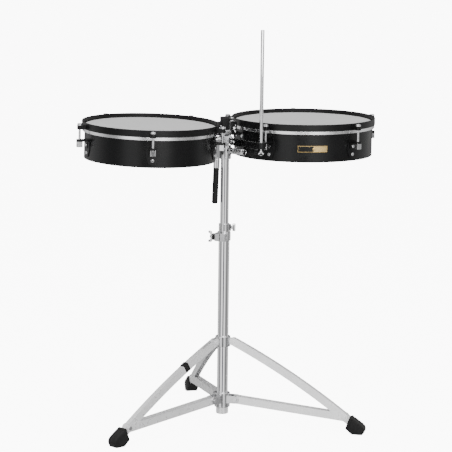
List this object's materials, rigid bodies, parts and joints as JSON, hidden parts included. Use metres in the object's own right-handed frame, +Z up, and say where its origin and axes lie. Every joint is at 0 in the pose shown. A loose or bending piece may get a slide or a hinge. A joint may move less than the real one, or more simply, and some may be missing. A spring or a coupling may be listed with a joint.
{
  "type": "timbales on a folding stand",
  "caption": "Pair of shallow single-headed metal drums on one tilting column with a cowbell rod and a folding double-braced tripod.",
  "frame": {"origin": "on the floor, below the middle of the bounding box; the column axis stands at X -13.469 mm, Y -60.222 mm", "axes": "+Z up; +X from the smaller drum to the larger drum along the row of drums; -Y towards the audience, the side of the badge and the cowbell post; the player stands at +Y"},
  "size_m": [0.8248, 0.6328, 1.027],
  "materials": {
    "black_shell": "satin black lacquer over steel, soft vertical highlights",
    "black_hoop": "satin black powder coat",
    "black_bracket": "satin black powder coat",
    "head_film": "smooth polyester drum skin, pale grey",
    "hoop_alloy": "bright plain aluminium",
    "chrome": "polished chrome plate",
    "satin_steel": "satin plated steel",
    "cast_grey": "satin cast metal",
    "black_rubber": "matt moulded rubber",
    "black_nylon": "matt moulded nylon",
    "badge_plate": "plain brass plate, half of it black lacquered"
  },
  "bodies": {
    "column": {"lower_tube": "chrome", "tube_end_cap": "satin_steel", "clamp_bushing": "black_nylon", "height_clamp": "cast_grey", "clamp_washer": "black_nylon", "leg_collar": "cast_grey", "collar_pins": "chrome"},
    "height_bolt": {"height_wing_bolt": "chrome"},
    "upper_column": {"upper_tube": "chrome", "memory_lock": "cast_grey", "tilter_socket": "cast_grey"},
    "memory_bolt": {"memory_lock_bolt": "chrome"},
    "lock_knob": {"socket_lock_knob": "chrome"},
    "tilt_lever": {"tilt_bolt": "chrome", "tilt_handle": "chrome", "handle_grip": "black_rubber"},
    "drum_head": {"tilter_head": "cast_grey", "tilter_cap": "black_nylon", "top_screw": "chrome", "mount_nuts": "chrome", "mount_bracket_left": "black_bracket", "mount_bracket_right": "black_bracket", "bracket_screws": "chrome", "shell_left": "black_shell", "shell_right": "black_shell", "hoop_left": "black_hoop", "hoop_right": "black_hoop", "head_left": "head_film", "head_right": "head_film", "flesh_hoop_left": "hoop_alloy", "flesh_hoop_right": "hoop_alloy", "lug_brackets_left": "black_bracket", "lug_brackets_right": "black_bracket", "tension_bolts_left": "chrome", "tension_bolts_right": "chrome", "tension_nuts": "chrome", "lug_screws": "chrome", "badge": "badge_plate", "cowbell_arm": "chrome", "arm_screws": "chrome", "post_clamp": "black_bracket"},
    "mount_bolt_left": {"mount_wing_bolt_left": "chrome"},
    "mount_bolt_right": {"mount_wing_bolt_right": "chrome"},
    "post": {"cowbell_post": "chrome"},
    "post_bolt": {"post_wing_bolt": "chrome"},
    "hub": {"stay_hub": "cast_grey", "hub_pins": "chrome"},
    "stay_right": {"stay_right": "satin_steel", "rivet_right": "chrome"},
    "leg_right": {"leg_right": "satin_steel", "foot_right": "black_rubber"},
    "stay_rear": {"stay_rear": "satin_steel", "rivet_rear": "chrome"},
    "leg_rear": {"leg_rear": "satin_steel", "foot_rear": "black_rubber"},
    "stay_left": {"stay_left": "satin_steel", "rivet_left": "chrome"},
    "leg_left": {"leg_left": "satin_steel", "foot_left": "black_rubber", "leg_bumper": "black_rubber"}
  },
  "joints": [
    {"name": "hub_slide", "type": "slide", "parent": "column", "child": "hub", "axis": [0, 0, 1], "range_m": [0, 0.0976]},
    {"name": "stay_right_hinge", "type": "hinge", "parent": "hub", "child": "stay_right", "pos_m": [0.01483, -0.08406, 0.065], "axis": [0.6441, 0.7649, 0], "range_deg": [0, 81.05]},
    {"name": "leg_right_hinge", "type": "hinge", "parent": "stay_right", "child": "leg_right", "pos_m": [0.23589, -0.27021, 0.0418], "axis": [0.6441, 0.7649, 0], "range_deg": [-26.59, 0]},
    {"name": "stay_rear_hinge", "type": "hinge", "parent": "hub", "child": "stay_rear", "pos_m": [-0.00698, -0.0238, 0.065], "axis": [-0.9845, 0.1754, 0], "range_deg": [0, 81.05]},
    {"name": "leg_rear_hinge", "type": "hinge", "parent": "stay_rear", "child": "leg_rear", "pos_m": [0.0437, 0.26073, 0.0418], "axis": [-0.9845, 0.1754, 0], "range_deg": [-26.59, 0]},
    {"name": "stay_left_hinge", "type": "hinge", "parent": "hub", "child": "stay_left", "pos_m": [-0.04826, -0.07282, 0.065], "axis": [0.3404, -0.9403, 0], "range_deg": [0, 81.05]},
    {"name": "leg_left_hinge", "type": "hinge", "parent": "stay_left", "child": "leg_left", "pos_m": [-0.32, -0.17119, 0.0418], "axis": [0.3404, -0.9403, 0], "range_deg": [-26.59, 0]},
    {"name": "height_slide", "type": "slide", "parent": "column", "child": "upper_column", "axis": [0, 0, 1], "range_m": [0, 0.18]},
    {"name": "height_bolt_turn", "type": "hinge", "parent": "column", "child": "height_bolt", "pos_m": [-0.02974, -0.07577, 0.491], "axis": [-0.6909, 0.723, 0], "continuous": true},
    {"name": "memory_bolt_turn", "type": "hinge", "parent": "upper_column", "child": "memory_bolt", "pos_m": [0.00663, -0.06917, 0.5132], "axis": [0.9135, -0.4067, 0], "continuous": true},
    {"name": "lock_knob_turn", "type": "hinge", "parent": "upper_column", "child": "lock_knob", "pos_m": [-0.00428, -0.07799, 0.712], "axis": [0.4592, -0.8883, 0], "continuous": true},
    {"name": "tilt", "type": "hinge", "parent": "upper_column", "child": "drum_head", "pos_m": [-0.01347, -0.06022, 0.74], "axis": [-1, 0, 0], "range_deg": [0, 40]},
    {"name": "tilt_lever_turn", "type": "hinge", "parent": "upper_column", "child": "tilt_lever", "pos_m": [-0.04097, -0.06022, 0.74], "axis": [1, 0, 0], "range_deg": [-60, 60]},
    {"name": "mount_bolt_left_turn", "type": "hinge", "parent": "drum_head", "child": "mount_bolt_left", "pos_m": [-0.03347, -0.06782, 0.768], "axis": [0, -1, 0], "continuous": true},
    {"name": "mount_bolt_right_turn", "type": "hinge", "parent": "drum_head", "child": "mount_bolt_right", "pos_m": [0.00653, -0.06782, 0.768], "axis": [0, -1, 0], "continuous": true},
    {"name": "post_slide", "type": "slide", "parent": "drum_head", "child": "post", "axis": [0, 0, 1], "range_m": [-0.24, 0.008]},
    {"name": "post_bolt_turn", "type": "hinge", "parent": "drum_head", "child": "post_bolt", "pos_m": [0.01889, -0.20763, 0.7235], "axis": [-0.407, -0.9134, 0], "continuous": true}
  ],
  "couplings": [
    {"joint": "stay_right_hinge", "follows": "hub_slide", "rad_per_m": 14.494},
    {"joint": "leg_right_hinge", "follows": "hub_slide", "rad_per_m": -4.755},
    {"joint": "stay_rear_hinge", "follows": "hub_slide", "rad_per_m": 14.494},
    {"joint": "leg_rear_hinge", "follows": "hub_slide", "rad_per_m": -4.755},
    {"joint": "stay_left_hinge", "follows": "hub_slide", "rad_per_m": 14.494},
    {"joint": "leg_left_hinge", "follows": "hub_slide", "rad_per_m": -4.755}
  ]
}
